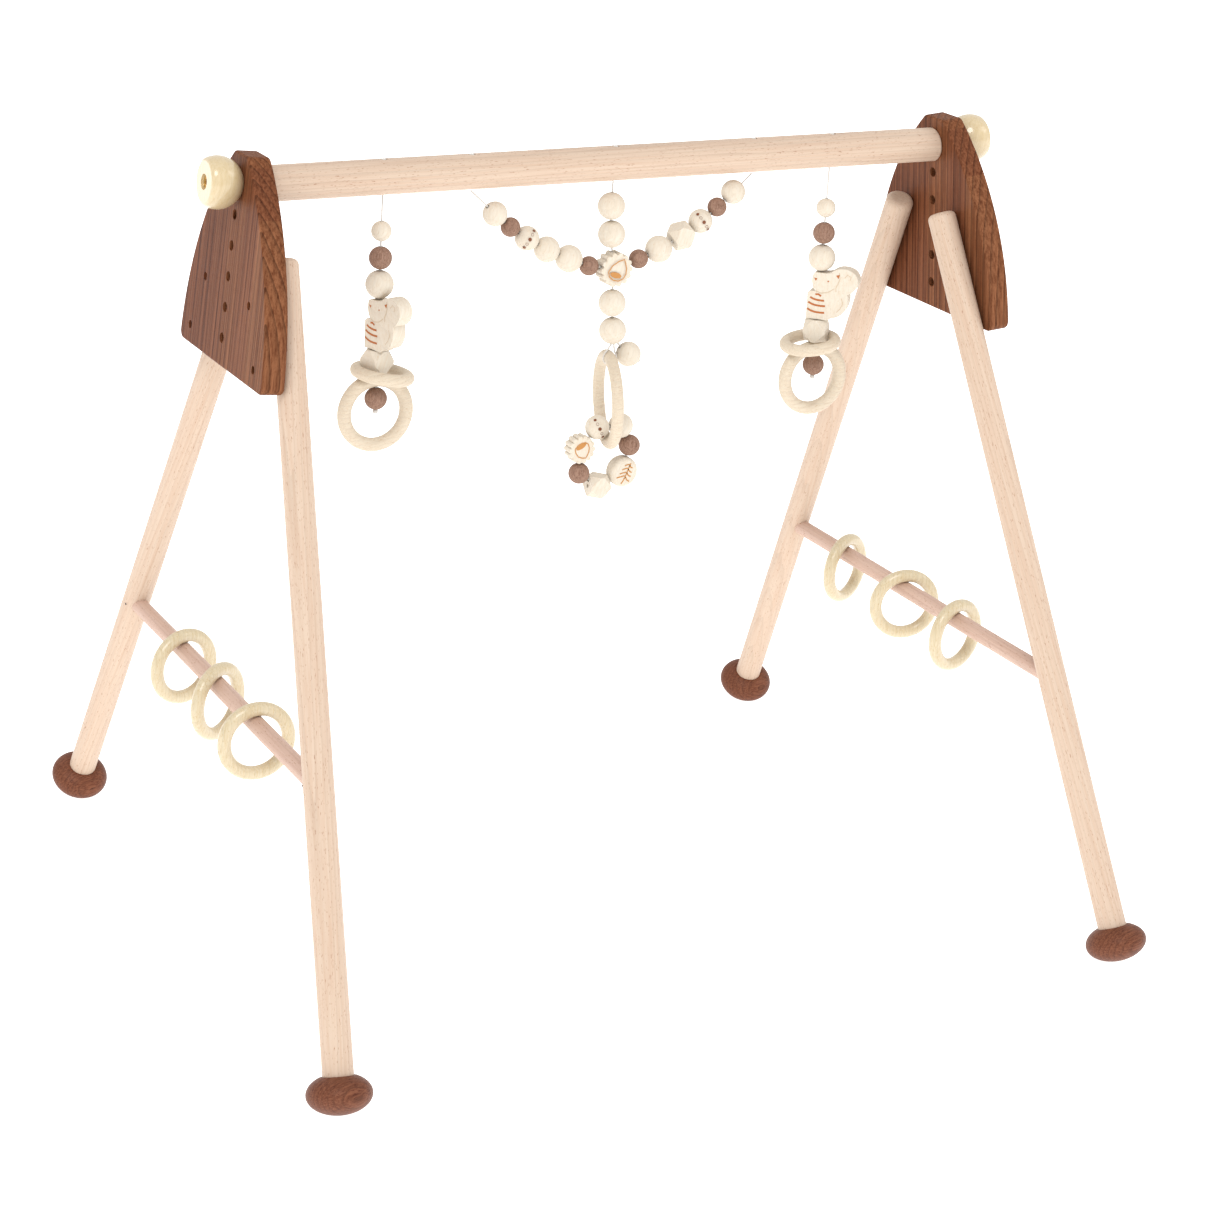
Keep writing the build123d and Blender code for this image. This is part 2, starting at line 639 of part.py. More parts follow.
# --- bracelet ------------------------------------------------------------------------------
wrist = [WRIST_FACET, WRIST_TWIG, WRIST_BROWN[0], WRIST_PALE, WRIST_FACE, WRIST_FLOWER, WRIST_BROWN[1]]


def part_way(first, last, share):
    """Point a share of the way between two beads."""
    return (first[0] + (last[0] - first[0]) * share, first[1] + (last[1] - first[1]) * share)


wrist_start = part_way(WRIST_FACET, WRIST_TWIG, 0.08)
wrist_end = part_way(WRIST_FACET, WRIST_BROWN[1], 0.08)
wrist_route = [xz(bead) for bead in [wrist_start, *wrist[1:], wrist_end]]
save(swept_cord(wrist_route, CORD_D, "bracelet cord"), "bracelet_cord")
wrist_bore = swept_cord(wrist_route, BORE_D, "bracelet bore").part

with BuildPart() as bracelet_face_bead:
    balls((WRIST_FACE,))
    add(wrist_bore, mode=Mode.SUBTRACT)
save(bracelet_face_bead, "bracelet_face_bead")

with BuildPart() as bracelet_pale_bead:
    balls((WRIST_PALE,))
    add(wrist_bore, mode=Mode.SUBTRACT)
save(bracelet_pale_bead, "bracelet_pale_bead")

with BuildPart() as bracelet_facet_bead:
    facet_bead(along(WRIST_BROWN[1], WRIST_TWIG, WRIST_FACET), WRIST_FACET[2])
    with Locations(along(WRIST_BROWN[1], WRIST_TWIG, WRIST_FACET)):
        Cylinder(BORE_D / 2, WRIST_FACET[2] + 2, mode=Mode.SUBTRACT)
    add(wrist_bore, mode=Mode.SUBTRACT)
save(bracelet_facet_bead, "bracelet_facet_bead")

with BuildPart() as bracelet_brown_beads:
    balls(WRIST_BROWN)
    add(wrist_bore, mode=Mode.SUBTRACT)
save(bracelet_brown_beads, "bracelet_brown_beads")

with BuildPart() as bracelet_twig_disc:
    with BuildSketch(Plane(origin=xz(WRIST_TWIG, TWIG_T / 2), x_dir=(1, 0, 0), z_dir=(0, -1, 0))):
        Circle(WRIST_TWIG[2] / 2)
    extrude(amount=TWIG_T)
    fillet(bracelet_twig_disc.edges().filter_by(GeomType.CIRCLE), 3.0)
    add(wrist_bore, mode=Mode.SUBTRACT)
save(bracelet_twig_disc, "bracelet_twig_disc")

wrist_face = Plane(origin=xz(WRIST_FLOWER), x_dir=(1, 0, 0), z_dir=(0, -1, 0))
save(flower_disc(wrist_face, [wrist_bore], WRIST_FLOWER[2], WRIST_FLOWER_T), "bracelet_flower")

print("bar height", round(bar_z, 3), "stretcher half length", round(stretcher_y, 2))
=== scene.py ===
import json
import math

import bpy
from mathutils import Matrix, Vector

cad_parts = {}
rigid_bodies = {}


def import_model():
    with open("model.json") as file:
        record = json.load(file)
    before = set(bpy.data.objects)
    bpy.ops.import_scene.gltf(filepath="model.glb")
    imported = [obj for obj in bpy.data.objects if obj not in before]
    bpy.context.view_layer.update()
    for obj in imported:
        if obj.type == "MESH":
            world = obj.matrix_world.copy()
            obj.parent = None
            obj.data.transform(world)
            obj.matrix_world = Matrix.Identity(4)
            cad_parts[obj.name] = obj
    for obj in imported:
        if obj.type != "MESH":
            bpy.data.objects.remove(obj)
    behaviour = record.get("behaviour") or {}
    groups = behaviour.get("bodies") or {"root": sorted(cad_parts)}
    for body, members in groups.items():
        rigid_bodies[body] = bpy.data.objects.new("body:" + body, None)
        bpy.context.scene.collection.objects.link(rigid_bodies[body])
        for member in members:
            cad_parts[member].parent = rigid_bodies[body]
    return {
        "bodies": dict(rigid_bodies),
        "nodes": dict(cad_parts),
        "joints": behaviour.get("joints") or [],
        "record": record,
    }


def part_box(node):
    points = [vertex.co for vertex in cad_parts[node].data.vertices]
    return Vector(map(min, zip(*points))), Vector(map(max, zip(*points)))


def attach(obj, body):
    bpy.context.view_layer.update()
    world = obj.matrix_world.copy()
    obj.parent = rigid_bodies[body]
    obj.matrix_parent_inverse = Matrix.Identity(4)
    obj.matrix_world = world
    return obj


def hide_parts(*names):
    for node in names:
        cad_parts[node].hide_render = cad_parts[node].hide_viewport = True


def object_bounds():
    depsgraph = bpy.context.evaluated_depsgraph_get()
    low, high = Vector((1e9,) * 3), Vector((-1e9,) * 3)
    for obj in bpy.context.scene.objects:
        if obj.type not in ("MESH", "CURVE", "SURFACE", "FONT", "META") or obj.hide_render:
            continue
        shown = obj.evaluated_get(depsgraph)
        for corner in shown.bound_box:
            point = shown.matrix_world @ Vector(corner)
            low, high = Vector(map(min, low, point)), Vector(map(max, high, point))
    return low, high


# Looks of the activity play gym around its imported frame. Metres, +Z up, bar along X, front at -Y.

MM = 0.001
WHITE = (1.0, 1.0, 1.0, 1.0)

# camera: place in metres, heading, tilt down and roll in degrees, lens and sensor in mm
CAMERA_AT = (-0.9505, -1.7495, 0.9515)
CAMERA_HEADING = 25.567
CAMERA_DOWN = 18.325
CAMERA_ROLL = 2.440
CAMERA_LENS = 88.16
CAMERA_SENSOR = 36.0
CAMERA_SHIFT = (0.1293, -0.0978)
CAMERA_CLIP = (0.05, 60.0)

# light. GAIN is how much the scene brightens a paint. A sun is its name, heading from the front and
# height in degrees, and energy
GAIN = 1.52
FLOOR_GREY = 0.8
FLOOR_GLOW = 1.0
FLOOR_SIZE = 30.0
FLOOR_GAP = 0.0003
SUNS = (("key", -35.0, 50.0, 1.15), ("fill", 60.0, 35.0, 0.25))
SUN_SPREAD = 25.0

# wood. RING_SCALE gives about one growth ring for each unit of a wave texture's coordinates
RING_SCALE = 0.314
STREAK_DARK_AT = 0.30
STREAK_LIGHT_AT = 0.62
RING_EARLY_END = 0.72
RING_EARLY_SHARE = 0.3
FLECK_FADE = 0.06
COAT_ROUGHNESS = 0.12
RELIEF_HEIGHT = 0.0003

# side plates: their lean in degrees, and the width and first edge of their lamellas in mm
PLATE_LEAN = 5.25
LAMELLA_WIDTH = 24.0
LAMELLA_START = 6.0

SIDES = ("left", "right")
ENDS = ("front", "back")
PLACES = ("back", "mid", "front")

CORD_D = 1.2
KNOT_D = 3.8
INLAY_LIFT = 0.12

# cord routes as (x, z below the bar axis) in mm, as in the CAD part
GARLAND_ROUTE = (
    (-108.0, -12.8),
    (-88.8, -30.0),
    (-76.8, -39.8),
    (-63.9, -48.3),
    (-48.4, -57.1),
    (-31.1, -64.7),
    (-15.4, -70.8),
    (4.0, -74.0),
    (23.0, -68.5),
    (38.4, -62.6),
    (55.2, -54.1),
    (70.1, -44.7),
    (82.6, -35.5),
    (94.7, -25.5),
    (108.0, -12.8),
)
CENTRE_ROUTE = (
    (0.0, -12.8),
    (-0.6, -29.8),
    (0.8, -49.6),
    (4.0, -74.0),
    (4.4, -98.5),
    (6.0, -118.4),
    (12.5, -131.8),
    (27.66, -141.62),
)
WRIST_ROUTE = (
    (0.9, -230.8),
    (19.9, -222.0),
    (24.8, -203.4),
    (17.0, -188.2),
    (-1.6, -187.9),
    (-14.6, -202.1),
    (-14.0, -220.4),
)
GARLAND_Y = -0.8
CENTRE_Y = 0.8
LOOP_Y = -0.9
WRIST_Y = 0.0

# share of the bracelet's first and last stretch that stays open inside the faceted bead
WRIST_GAP = 0.08

# loop round the centre ring: its two ends, and an arc in degrees
LOOP_TOP = (6.4, -127.3)
LOOP_SPREAD = 0.8
LOOP_CENTRE = (4.5, -137.3)
LOOP_R = 5.3
LOOP_FROM = 125.0
LOOP_SWEEP = 290.0
LOOP_STEPS = 8

# hangers: side, x, z offset from the left one, and heading of the squirrel in degrees
HANGERS = (("left", -171.7, 0.0, -74.0), ("right", 171.7, -4.9, -44.0))
HANGER_TOP = -11.4
HANGER_BOTTOM = -160.7
HANGER_STEPS = 4

# squirrel: crown below the bar axis and half thickness, then marks across and up from the crown, in mm
SQUIRREL_TOP = -82.6
SQUIRREL_HALF = 5.5
SQUIRREL_EDGE = 0.5
SQUIRREL_EDGE_ANGLE = 40.0
SQUIRREL_EARS = (
    ((-3.4, -3.8), (-0.9, -4.2), (-1.9, -6.1)),
    ((12.4, -0.7), (15.2, 0.4), (14.3, -2.9)),
)
SQUIRREL_EYE_AT = (7.1, -5.5)
SQUIRREL_EYE_R = 0.6
SQUIRREL_STRIPES = (
    ((-1.4, -15.9), (0.7, -15.6), (2.8, -16.8)),
    ((-5.0, -18.3), (-3.0, -19.2), (-0.4, -19.8), (2.4, -20.0), (5.2, -19.9)),
    ((-6.2, -21.9), (-3.6, -23.2), (-0.6, -23.8), (3.0, -24.0), (6.2, -23.8)),
    ((-6.6, -26.8), (-4.0, -28.1), (-0.8, -28.8), (2.8, -28.9), (6.0, -28.7)),
)
SQUIRREL_SCORES = (
    ((14.6, 1.6), (15.4, -2.6), (14.2, -6.6), (12.9, -9.8), (13.2, -12.4)),
    ((-1.6, -13.4), (2.6, -14.6), (7.4, -13.6), (11.4, -10.6)),
    ((18.6, -1.8), (20.6, 0.8), (23.2, -0.6), (22.6, -3.4)),
    ((17.4, -16.8), (18.8, -20.4), (17.0, -24.6), (14.6, -27.4)),
)
STRIPE_WIDTH = 1.4
SCORE_WIDTH = 0.5

# nuts and twig, in mm across and up from the middle of their disc. A cap is an ellipse
NUT_BIG = (
    (4.7, 7.5),
    (0.5, 6.5),
    (-4.5, 3.5),
    (-7.2, -0.5),
    (-6.5, -4.0),
    (-3.0, -6.8),
    (1.0, -7.5),
    (4.5, -6.0),
    (6.3, -3.0),
    (6.6, 1.0),
    (5.6, 4.8),
)
NUT_BIG_CAP = ((-1.5, -3.2), 4.6, 2.0, -18.0)
NUT_SMALL = (
    (2.7, -5.9),
    (0.2, -5.8),
    (-3.2, -4.6),
    (-5.3, -1.6),
    (-5.9, 1.1),
    (-3.8, 3.8),
    (-0.6, 5.3),
    (1.9, 5.5),
    (4.2, 4.0),
    (5.1, 1.3),
    (4.8, -1.8),
    (3.6, -4.6),
)
NUT_SMALL_CAP = ((-1.2, 2.7), 4.2, 1.7, 28.0)
TWIG = (
    ((0.2, -3.8), (1.8, 0.4), (3.2, 4.0), (4.5, 6.6)),
    ((0.0, -2.1), (-3.0, -2.6), (-6.4, -3.2)),
    ((1.1, 0.3), (-1.4, 0.1), (-4.0, -0.5)),
    ((2.2, 3.2), (0.0, 3.1), (-2.2, 2.4)),
    ((3.5, 5.9), (1.6, 5.8), (-0.3, 5.1)),
    ((0.5, -3.2), (2.0, -5.6), (3.8, -6.7)),
    ((1.6, 0.0), (2.9, -2.2), (4.8, -3.2)),
    ((2.4, 2.7), (3.6, 0.8), (5.4, -0.3)),
    ((3.5, 5.4), (4.4, 3.8), (5.9, 3.0)),
    ((0.2, -3.6), (-1.2, -6.0), (-2.7, -8.0)),
)
NUT_WIDTH = 0.8
TWIG_WIDTH = 0.9
TWIG_AT = WRIST_ROUTE[1]
TWIG_DISC_HALF = 5.0

# discs with a nut: piece, body, place on the cord, y, half thickness, outline and cap
NUT_DISCS = (
    ("flower_nut", "garland", GARLAND_ROUTE[7], GARLAND_Y, 5.5, NUT_BIG, NUT_BIG_CAP),
    ("bracelet_nut", "bracelet", WRIST_ROUTE[5], WRIST_Y, 4.75, NUT_SMALL, NUT_SMALL_CAP),
)

# face beads: body, cord route, stop on the route, bead diameter and y
FACE_BEADS = (
    ("garland", GARLAND_ROUTE, 3, 17.0, GARLAND_Y),
    ("garland", GARLAND_ROUTE, 11, 17.0, GARLAND_Y),
    ("bracelet", WRIST_ROUTE, 4, 17.2, WRIST_Y),
)

# marks of a face bead in mm, and the direction that the face looks in
FACE_LOOK = (-0.25, -0.95, 0.15)
FACE_NOSE_R = 1.3
FACE_EYES = 3.7
FACE_EYE_R = 0.9
FACE_EYE_WIDTH = 0.25
FACE_EARS = 6.6
FACE_EAR_R = 1.1
FACE_EAR_FLAT = 0.7


def srgb(red, green, blue):
    """Linear colour of an 8-bit sRGB one."""
    channels = [c / 255 for c in (red, green, blue)]
    linear = [c / 12.92 if c <= 0.04045 else ((c + 0.055) / 1.055) ** 2.4 for c in channels]
    return (*linear, 1.0)


def tone(red, green, blue):
    """Paint that the scene's light brings to an 8-bit sRGB colour."""
    return (*(c / GAIN for c in srgb(red, green, blue)[:3]), 1.0)


def grey(value):
    """Linear grey."""
    return (value, value, value, 1.0)


def both(*kinds):
    """Names of the nodes of some kinds, on both sides."""
    return [f"{kind}_{side}" for kind in kinds for side in SIDES]


# --- materials ---------------------------------------------------------------------------


def new_material(name):
    """Material and its Principled shader."""
    material = bpy.data.materials.new(name)
    material.use_nodes = True
    return material, material.node_tree.nodes["Principled BSDF"]


def plain(name, colour, roughness, metallic=0.0):
    """One colour all over."""
    material, shader = new_material(name)
    shader.inputs["Base Color"].default_value = colour
    shader.inputs["Roughness"].default_value = roughness
    shader.inputs["Metallic"].default_value = metallic
    return material


def stretched(tree, axis, across, length, offset=(0.0, 0.0, 0.0)):
    """Coordinates whose grain runs along an axis: one unit is `across` wide and `length` long, in metres."""
    place = tree.nodes.new("ShaderNodeTexCoord")
    mapping = tree.nodes.new("ShaderNodeMapping")
    mapping.vector_type = "TEXTURE"
    turn = Vector(axis).normalized().to_track_quat("Z", "Y").to_euler()
    mapping.inputs["Location"].default_value = offset
    mapping.inputs["Rotation"].default_value = turn
    mapping.inputs["Scale"].default_value = (across, across, length)
    tree.links.new(place.outputs["Object"], mapping.inputs["Vector"])
    return mapping.outputs["Vector"]


def noise(tree, vector, detail, roughness=0.5):
    """Noise value on given coordinates."""
    texture = tree.nodes.new("ShaderNodeTexNoise")
    texture.inputs["Scale"].default_value = 1.0
    texture.inputs["Detail"].default_value = detail
    texture.inputs["Roughness"].default_value = roughness
    tree.links.new(vector, texture.inputs["Vector"])
    return texture.outputs["Fac"]


def rings(tree, vector, distortion):
    """Growth rings round the grain axis, about one for each unit of the coordinates."""
    wave = tree.nodes.new("ShaderNodeTexWave")
    wave.wave_type = "RINGS"
    wave.rings_direction = "Z"
    wave.wave_profile = "SAW"
    wave.inputs["Scale"].default_value = RING_SCALE
    wave.inputs["Distortion"].default_value = distortion
    wave.inputs["Detail"].default_value = 2.0
    wave.inputs["Detail Scale"].default_value = 1.0
    tree.links.new(vector, wave.inputs["Vector"])
    return wave.outputs["Fac"]


def ramp(tree, value, stops):
    """Colour ramp over a value: stops are (position, colour)."""
    band = tree.nodes.new("ShaderNodeValToRGB")
    elements = band.color_ramp.elements
    while len(elements) < len(stops):
        elements.new(0.5)
    for element, (position, colour) in zip(elements, stops):
        element.position = position
        element.color = colour
    tree.links.new(value, band.inputs["Fac"])
    return band.outputs["Color"]


def multiply(tree, first, second):
    """Product of two colour sockets."""
    mix = tree.nodes.new("ShaderNodeMix")
    mix.data_type = "RGBA"
    mix.blend_type = "MULTIPLY"
    mix.inputs["Factor"].default_value = 1.0
    tree.links.new(first, mix.inputs["A"])
    tree.links.new(second, mix.inputs["B"])
    return mix.outputs["Result"]


def wood(name, axis, light, dark, fleck, roughness, streak=(1.6, 90.0), ring=(3.2, 40.0),
         ring_depth=0.25, fleck_size=(0.45, 3.2), fleck_cut=0.66, coat=0.0, bump=0.15, wander=6.0,
         pith=(0.031, 0.043, 0.037), slant=(0.02, 0.03, 0.02), specular=0.35):
    """Straight-grained wood along an axis: streaks, growth rings and short flecks.

    Streaks and flecks are (width, length) in mm, ring is a spacing in mm and how many times longer it runs,
    and pith is the middle of the rings in metres.
    """
    material, shader = new_material(name)
    tree = material.node_tree
    streaks = noise(tree, stretched(tree, axis, streak[0] * MM, streak[1] * MM), 3.0, 0.6)
    base = ramp(tree, streaks, ((STREAK_DARK_AT, dark), (STREAK_LIGHT_AT, light)))
    turned = Vector(axis).normalized() + Vector(slant)
    growth = rings(tree, stretched(tree, turned, ring[0] * MM, ring[0] * ring[1] * MM, pith), wander)
    lines = ramp(tree, growth, (
        (0.0, WHITE),
        (RING_EARLY_END, grey(1.0 - ring_depth * RING_EARLY_SHARE)),
        (1.0, grey(1.0 - ring_depth)),
    ))
    base = multiply(tree, base, lines)
    specks = noise(tree, stretched(tree, axis, fleck_size[0] * MM, fleck_size[1] * MM), 1.0)
    shade = ramp(tree, specks, ((fleck_cut, WHITE), (fleck_cut + FLECK_FADE, fleck)))
    base = multiply(tree, base, shade)
    tree.links.new(base, shader.inputs["Base Color"])
    shader.inputs["Roughness"].default_value = roughness
    shader.inputs["Specular IOR Level"].default_value = specular
    shader.inputs["Coat Weight"].default_value = coat
    shader.inputs["Coat Roughness"].default_value = COAT_ROUGHNESS
    relief = tree.nodes.new("ShaderNodeBump")
    relief.inputs["Strength"].default_value = bump
    relief.inputs["Distance"].default_value = RELIEF_HEIGHT
    tree.links.new(specks, relief.inputs["Height"])
    tree.links.new(relief.outputs["Normal"], shader.inputs["Normal"])
    return material


def lamella_wood(name, side, light, dark):
    """Stained wood glued from lamellas across Y, each with its own tint. side is -1 or 1."""
    lean = math.radians(PLATE_LEAN)
    material = wood(name, (-math.sin(lean) * side, 0, math.cos(lean)), light, dark, srgb(205, 185, 175),
                    0.5, streak=(1.6, 130.0), ring=(5.0, 60.0), ring_depth=0.55, fleck_size=(0.3, 9.0),
                    fleck_cut=0.62, bump=0.25, wander=1.6, pith=(0.9 * side, -0.55, 0.0),
                    slant=(0.0, 0.0, 0.0), specular=0.06)
    tree = material.node_tree
    shader = tree.nodes["Principled BSDF"]
    grain = shader.inputs["Base Color"].links[0].from_socket
    strip = stretched(tree, (0, 0, 1), LAMELLA_WIDTH * MM, 1.0, (0.0, LAMELLA_START * MM, 0.0))
    parts = tree.nodes.new("ShaderNodeSeparateXYZ")
    tree.links.new(strip, parts.inputs["Vector"])
    step = tree.nodes.new("ShaderNodeMath")
    step.operation = "FLOOR"
    tree.links.new(parts.outputs["Y"], step.inputs[0])
    tint = tree.nodes.new("ShaderNodeTexWhiteNoise")
    tint.noise_dimensions = "1D"
    tree.links.new(step.outputs["Value"], tint.inputs["W"])
    shade = ramp(tree, tint.outputs["Value"], (
        (0.0, srgb(228, 214, 216)),
        (0.5, srgb(250, 244, 240)),
        (1.0, srgb(255, 255, 255)),
    ))
    tree.links.new(multiply(tree, grain, shade), shader.inputs["Base Color"])
    return material


def paint(frame, material, *names):
    """One material on whole CAD nodes."""
    for name in names:
        mesh = frame["nodes"][name].data
        mesh.materials.clear()
        mesh.materials.append(material)


def leg_axis(side, end):
    """Direction of a leg from the corners of its box."""
    low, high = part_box(f"leg_{end}_{side}")
    run = high - low
    across = -1 if side == "left" else 1
    along = -1 if end == "front" else 1
    return (across * run.x, along * run.y, -run.z)


def dress_beech(frame):
    """Legs and bar in pale beech, stretchers in a pinker one."""
    tan = tone(238, 212, 188)
    tan_dark = tone(230, 198, 172)
    speck = srgb(205, 180, 165)
    for side in SIDES:
        for end in ENDS:
            leg = wood(f"beech_leg_{end}_{side}", leg_axis(side, end), tan, tan_dark, speck, 0.5,
                       ring_depth=0.1)
            paint(frame, leg, f"leg_{end}_{side}")
    bar = wood("beech_bar", (1, 0, 0), tan, tan_dark, speck, 0.48, ring_depth=0.14, wander=9.0)
    paint(frame, bar, "top_bar")
    pink = wood("pink_beech", (0, 1, 0), tone(234, 200, 180), tone(222, 184, 164), speck, 0.5,
                ring_depth=0.1)
    paint(frame, pink, *both("stretcher"))


def dress_stained(frame):
    """Side plates and feet in brown stained wood."""
    for side, sign in (("left", -1), ("right", 1)):
        brown = lamella_wood(f"stained_plate_{side}", sign, tone(164, 108, 74), tone(112, 62, 36))
        paint(frame, brown, f"side_plate_{side}")
    turned = wood("stained_foot", (1, 0.2, 0.1), tone(148, 92, 66), tone(108, 58, 38),
                  srgb(190, 165, 160), 0.5, streak=(1.0, 30.0), ring=(3.0, 20.0), ring_depth=0.35,
                  fleck_cut=0.6, bump=0.2, wander=4.0, specular=0.15)
    paint(frame, turned, *both("foot_front", "foot_back"))


def dress_lacquered(frame):
    """Knobs and stretcher rings under clear lacquer."""
    knob = wood("lacquered_knob", (0.2, 0.1, 1), tone(240, 218, 176), tone(230, 204, 156),
                srgb(238, 226, 210), 0.22, streak=(1.2, 18.0), ring_depth=0.06, fleck_cut=0.7, coat=0.8,
                bump=0.0)
    paint(frame, knob, *both("knob"))
    ring = wood("lacquered_ring", (0.1, 0.2, 1), tone(240, 224, 190), tone(230, 208, 166),
                srgb(232, 216, 192), 0.3, streak=(1.2, 40.0), ring_depth=0.12, fleck_cut=0.64, coat=0.5,
                bump=0.03)
    paint(frame, ring, *[f"ring_{side}_{place}" for side in SIDES for place in PLACES])


def dress_toys(frame):
    """Hanging toys in raw pale wood and brown beads."""
    ring = wood("pale_ring", (1, 0.1, 0.1), tone(243, 228, 204), tone(234, 214, 188),
                srgb(234, 220, 204), 0.6, streak=(1.0, 40.0), ring_depth=0.1, fleck_cut=0.64, bump=0.08)
    paint(frame, ring, "centre_ring", *both("hanger_ring", "loose_ring"))
    pale = wood("pale_bead", (0.3, 0.2, 1), tone(249, 238, 220), tone(243, 227, 204),
                srgb(240, 228, 214), 0.62, streak=(1.4, 24.0), ring_depth=0.06, fleck_cut=0.66, bump=0.05)
    paint(frame, pale, "garland_pale_beads", "garland_face_beads", "garland_facet_bead", "flower_disc",
          "centre_upper_beads", "drop_beads", "bracelet_face_bead", "bracelet_pale_bead",
          "bracelet_facet_bead", "bracelet_twig_disc", "bracelet_flower",
          *both("hanger_pale_beads", "squirrel", "hanger_facet_bead"))
    brown = wood("brown_bead", (0.2, 0.3, 1), tone(182, 146, 126), tone(150, 114, 96),
                 srgb(205, 190, 182), 0.65, streak=(0.8, 14.0), ring_depth=0.18, fleck_size=(0.35, 1.6),
                 fleck_cut=0.6, bump=0.3, specular=0.12)
    paint(frame, brown, "garland_brown_beads", "bracelet_brown_beads",
          *both("hanger_brown_bead", "hanger_end_bead"))


def dress_fasteners(frame):
    """Bolts and inserts in brass, screws and pins in dark steel, knots in white thread."""
    brass = plain("brass", srgb(216, 180, 104), 0.32, metallic=1.0)
    paint(frame, brass, "bar_inserts", *both("knob_bolt"))
    paint(frame, plain("dark_steel", srgb(70, 60, 56), 0.4, metallic=1.0), "frame_screws")
    paint(frame, plain("white_thread", tone(236, 230, 222), 0.7), "bar_knots")


def soften(frame):
    """Rounds the squirrels' sharp sawn edges, in the look only."""
    for name in both("squirrel"):
        edge = frame["nodes"][name].modifiers.new("sanded edge", "BEVEL")
        edge.width = SQUIRREL_EDGE * MM
        edge.segments = 2
        edge.limit_method = "ANGLE"
        edge.angle_limit = math.radians(SQUIRREL_EDGE_ANGLE)


# --- engraved marks ----------------------------------------------------------------------


def ellipse(centre, half_long, half_wide, turn=0.0, count=20):
    """Outline points of an ellipse turned by some degrees."""
    turn_cos = math.cos(math.radians(turn))
    turn_sin = math.sin(math.radians(turn))
    points = []
    for step in range(count):
        angle = math.tau * step / count
        x, y = half_long * math.cos(angle), half_wide * math.sin(angle)
        points.append((centre[0] + x * turn_cos - y * turn_sin, centre[1] + x * turn_sin + y * turn_cos))
    return points


def circle(centre, radius, count):
    """Outline points of a circle."""
    return ellipse(centre, radius, radius, count=count)


def mirrored(points, sign):
    """Points of a drawing, turned over left to right where sign is -1."""
    return [(sign * across, high) for across, high in points]


def stroke(marks, points, width, closed=False):
    """Adds a line of a width to a drawing, as four-sided faces."""
    count = len(points)
    edges = []
    for i, point in enumerate(points):
        before = points[i - 1] if (closed or i) else point
        after = points[(i + 1) % count] if (closed or i < count - 1) else point
        run = Vector((after[0] - before[0], after[1] - before[1])).normalized()
        side = Vector((-run.y, run.x)) * width / 2
        edges.append((Vector(point) + side, Vector(point) - side))
    for i in range(count if closed else count - 1):
        a, b = edges[i], edges[(i + 1) % count]
        marks.append((a[0], a[1], b[1], b[0]))


def fill(marks, points):
    """Adds a filled shape to a drawing, as a fan from its middle."""
    middle = sum((Vector(p) for p in points), Vector((0, 0))) / len(points)
    for i, point in enumerate(points):
        marks.append((middle, Vector(point), Vector(points[(i + 1) % len(points)])))


def engrave(name, marks, place, material, body):
    """Mesh of a drawing laid on a surface by place(across, up)."""
    vertices = []
    faces = []
    for face in marks:
        faces.append(tuple(range(len(vertices), len(vertices) + len(face))))
        vertices.extend(place(p[0], p[1]) * MM for p in face)
    mesh = bpy.data.meshes.new(name)
    mesh.from_pydata(vertices, [], faces)
    mesh.materials.append(material)
    inlay = bpy.data.objects.new(name, mesh)
    bpy.context.scene.collection.objects.link(inlay)
    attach(inlay, body)


def flat_face(origin, right, up, lift):
    """Placing of marks on a flat face that looks along right x up."""
    outward = Vector(right).cross(Vector(up))
    start = Vector(origin) + outward * lift
    return lambda across, high: start + Vector(right) * across + Vector(up) * high


def round_face(centre, radius, right, up):
    """Placing of marks on a ball, looking along right x up."""
    outward = Vector(right).cross(Vector(up))

    def place(across, high):
        depth = math.sqrt(radius * radius - across * across - high * high)
        return Vector(centre) + Vector(right) * across + Vector(up) * high + outward * depth

    return place


def squirrel_marks(bar):
    """Stripes, ears, eye and faint score lines on both faces of the squirrels."""
    umber = plain("engraving_umber", tone(198, 112, 48), 0.6)
    faint = plain("engraving_faint", tone(226, 200, 166), 0.6)
    for side, x, lower, facing in HANGERS:
        turn = math.radians(facing)
        right = Vector((math.cos(turn), math.sin(turn), 0))
        crown = (x, 0, bar + lower + SQUIRREL_TOP)
        body = f"squirrel_{side}"
        for face, sign in (("front", 1), ("back", -1)):
            place = flat_face(crown, right * sign, (0, 0, 1), SQUIRREL_HALF + INLAY_LIFT)
            bold = []
            scores = []
            for stripe in SQUIRREL_STRIPES:
                stroke(bold, mirrored(stripe, sign), STRIPE_WIDTH)
            for ear in SQUIRREL_EARS:
                fill(bold, mirrored(ear, sign))
            fill(bold, circle(mirrored([SQUIRREL_EYE_AT], sign)[0], SQUIRREL_EYE_R, 12))
            for score in SQUIRREL_SCORES:
                stroke(scores, mirrored(score, sign), SCORE_WIDTH)
            engrave(f"squirrel_marks_{face}_{side}", bold, place, umber, body)
            engrave(f"squirrel_score_{face}_{side}", scores, place, faint, body)


def disc_marks(bar):
    """A nut on each of two discs, and a twig on a third."""
    amber = plain("engraving_amber", tone(212, 146, 72), 0.6)
    for name, body, (x, z), y, half, outline, cap in NUT_DISCS:
        marks = []
        stroke(marks, outline, NUT_WIDTH, closed=True)
        fill(marks, ellipse(*cap))
        place = flat_face((x, y, bar + z), (1, 0, 0), (0, 0, 1), half + INLAY_LIFT)
        engrave(name, marks, place, amber, body)
    marks = []
    for branch in TWIG:
        stroke(marks, branch, TWIG_WIDTH)
    x, z = TWIG_AT
    place = flat_face((x, WRIST_Y, bar + z), (1, 0, 0), (0, 0, 1), TWIG_DISC_HALF + INLAY_LIFT)
    engrave("twig", marks, place, amber, "bracelet")


